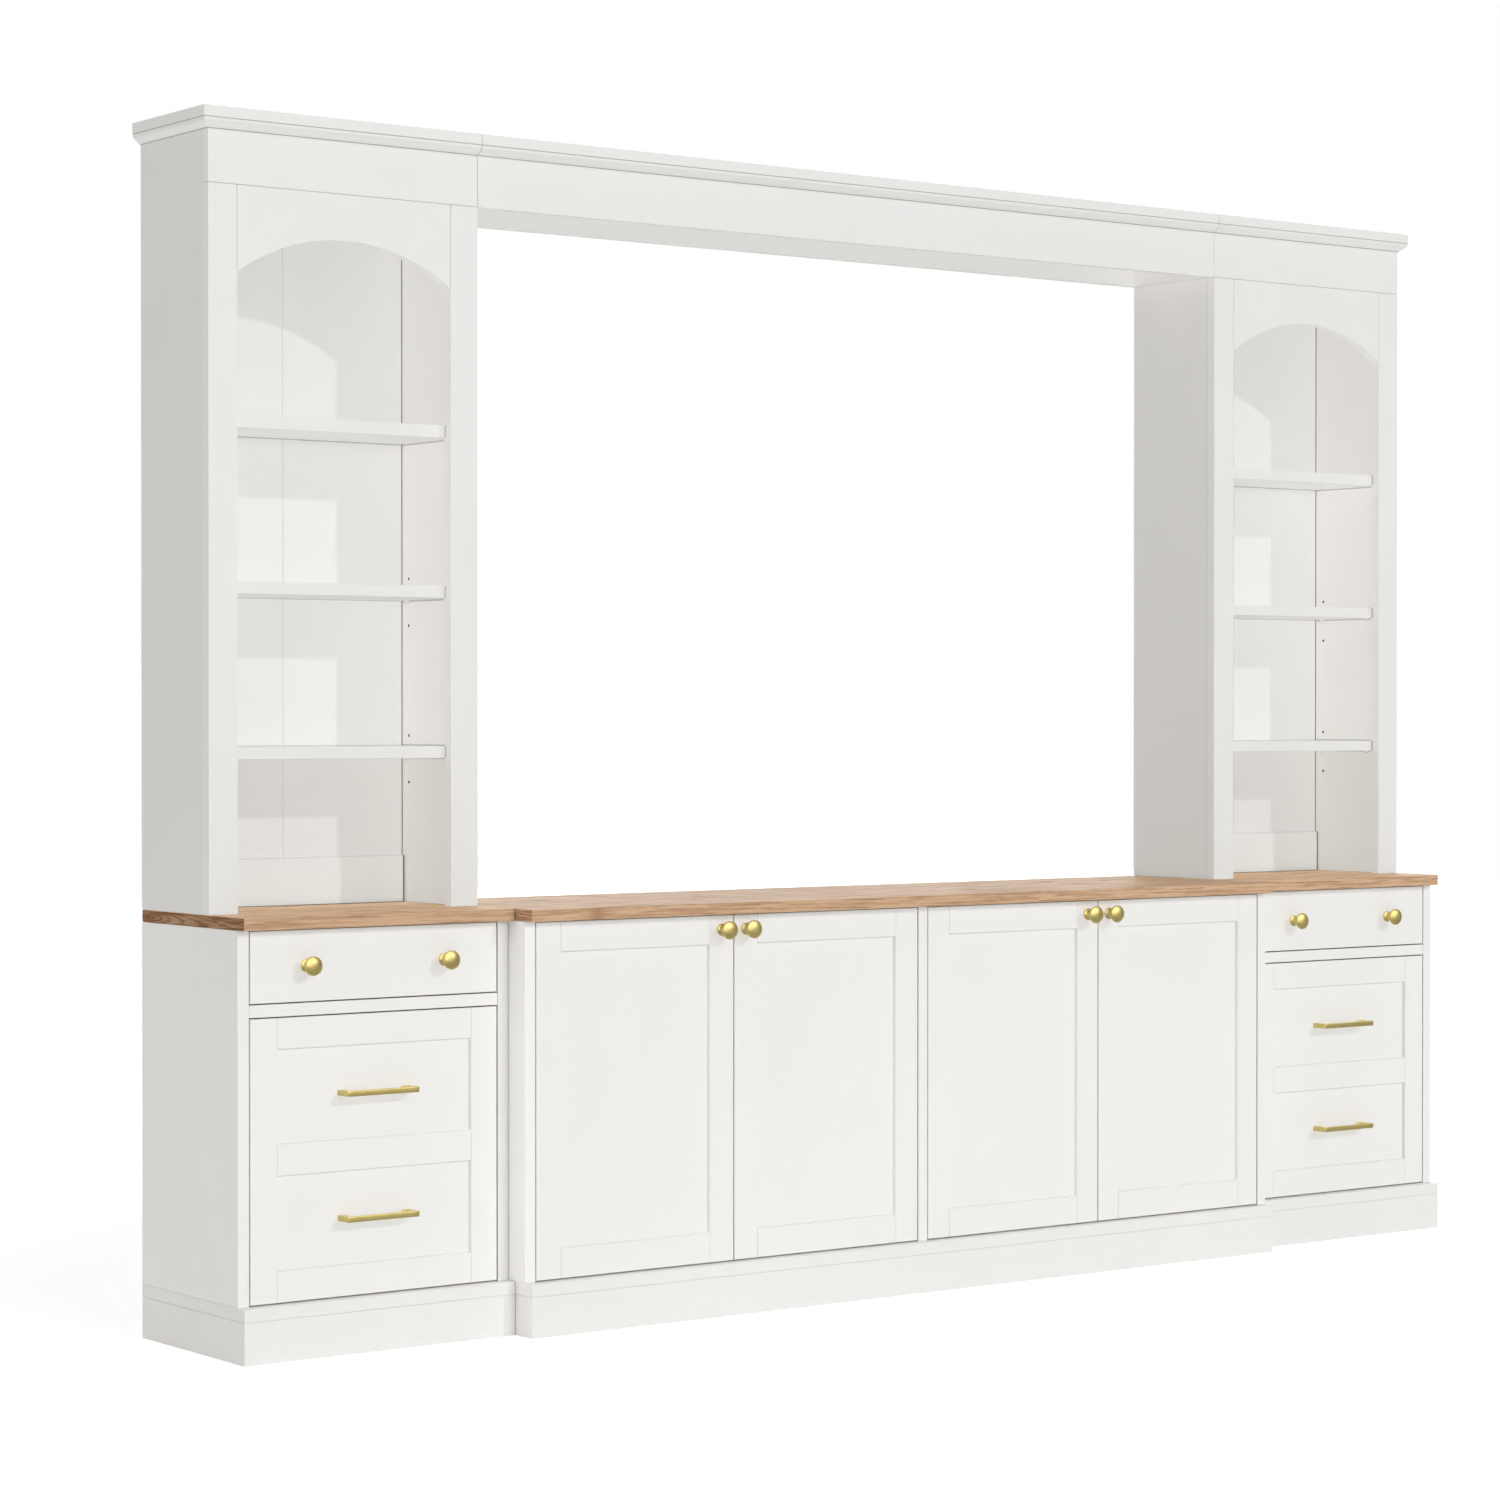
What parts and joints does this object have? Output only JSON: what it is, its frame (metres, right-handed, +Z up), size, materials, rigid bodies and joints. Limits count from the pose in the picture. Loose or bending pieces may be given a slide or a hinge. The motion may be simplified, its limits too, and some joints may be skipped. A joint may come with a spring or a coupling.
{
  "type": "entertainment center",
  "caption": "Wall unit with a long doored console, drawer piers, arched open shelf towers and a bridge over the television bay.",
  "frame": {"origin": "on the floor under the middle of the whole object", "axes": "+X to the object's right as seen in the picture, +Y towards the wall behind it, +Z up; the front faces -Y"},
  "size_m": [2.467, 0.3644, 1.799],
  "materials": {
    "white_paint": "satin white paint on 18 mm board",
    "white_sheet": "white faced 3 mm back board",
    "oak_top": "oak grain worktop with small knots, matt",
    "brass": "satin brass",
    "tray_board": "white faced 12 mm drawer board"
  },
  "bodies": {
    "carcase": {"bridge_crown": "white_paint", "bridge_frame": "white_paint", "console_back": "white_sheet", "console_base": "white_paint", "console_divider": "white_paint", "console_left_shelf": "white_paint", "console_left_side": "white_paint", "console_right_shelf": "white_paint", "console_right_side": "white_paint", "console_worktop": "oak_top", "left_pier_back": "white_sheet", "left_pier_base": "white_paint", "left_pier_crown": "white_paint", "left_pier_inner_side": "white_paint", "left_pier_outer_side": "white_paint", "left_pier_rail": "white_paint", "left_pier_tower_back": "white_sheet", "left_pier_tower_face_frame": "white_paint", "left_pier_tower_inner_side": "white_paint", "left_pier_tower_lower_shelf": "white_paint", "left_pier_tower_middle_shelf": "white_paint", "left_pier_tower_outer_side": "white_paint", "left_pier_worktop": "oak_top", "right_pier_back": "white_sheet", "right_pier_base": "white_paint", "right_pier_crown": "white_paint", "right_pier_inner_side": "white_paint", "right_pier_outer_side": "white_paint", "right_pier_rail": "white_paint", "right_pier_tower_back": "white_sheet", "right_pier_tower_face_frame": "white_paint", "right_pier_tower_inner_side": "white_paint", "right_pier_tower_lower_shelf": "white_paint", "right_pier_tower_middle_shelf": "white_paint", "right_pier_tower_outer_side": "white_paint", "right_pier_worktop": "oak_top"},
    "door_1": {"console_door_1": "white_paint", "console_knob_1": "brass"},
    "door_2": {"console_door_2": "white_paint", "console_knob_2": "brass"},
    "door_3": {"console_door_3": "white_paint", "console_knob_3": "brass"},
    "door_4": {"console_door_4": "white_paint", "console_knob_4": "brass"},
    "left_small_drawer": {"left_pier_small_drawer_front": "white_paint", "left_pier_small_drawer_tray": "tray_board", "left_pier_left_knob": "brass", "left_pier_right_knob": "brass"},
    "left_deep_drawer": {"left_pier_deep_drawer_front": "white_paint", "left_pier_deep_drawer_tray": "tray_board", "left_pier_lower_pull": "brass", "left_pier_upper_pull": "brass"},
    "right_small_drawer": {"right_pier_small_drawer_front": "white_paint", "right_pier_small_drawer_tray": "tray_board", "right_pier_left_knob": "brass", "right_pier_right_knob": "brass"},
    "right_deep_drawer": {"right_pier_deep_drawer_front": "white_paint", "right_pier_deep_drawer_tray": "tray_board", "right_pier_lower_pull": "brass", "right_pier_upper_pull": "brass"}
  },
  "joints": [
    {"name": "door_1_hinge", "type": "hinge", "parent": "carcase", "child": "door_1", "pos_m": [-0.737, -0.14935, 0.082], "axis": [0, 0, -1], "range_deg": [0, 95]},
    {"name": "door_2_hinge", "type": "hinge", "parent": "carcase", "child": "door_2", "pos_m": [-0.016, -0.14935, 0.082], "axis": [0, 0, 1], "range_deg": [0, 86]},
    {"name": "door_3_hinge", "type": "hinge", "parent": "carcase", "child": "door_3", "pos_m": [0.016, -0.14935, 0.082], "axis": [0, 0, -1], "range_deg": [0, 86]},
    {"name": "door_4_hinge", "type": "hinge", "parent": "carcase", "child": "door_4", "pos_m": [0.737, -0.14935, 0.082], "axis": [0, 0, 1], "range_deg": [0, 95]},
    {"name": "left_small_drawer_slide", "type": "slide", "parent": "carcase", "child": "left_small_drawer", "axis": [0, -1, 0], "range_m": [0, 0.19]},
    {"name": "left_deep_drawer_slide", "type": "slide", "parent": "carcase", "child": "left_deep_drawer", "axis": [0, -1, 0], "range_m": [0, 0.19]},
    {"name": "right_small_drawer_slide", "type": "slide", "parent": "carcase", "child": "right_small_drawer", "axis": [0, -1, 0], "range_m": [0, 0.19]},
    {"name": "right_deep_drawer_slide", "type": "slide", "parent": "carcase", "child": "right_deep_drawer", "axis": [0, -1, 0], "range_m": [0, 0.19]}
  ]
}
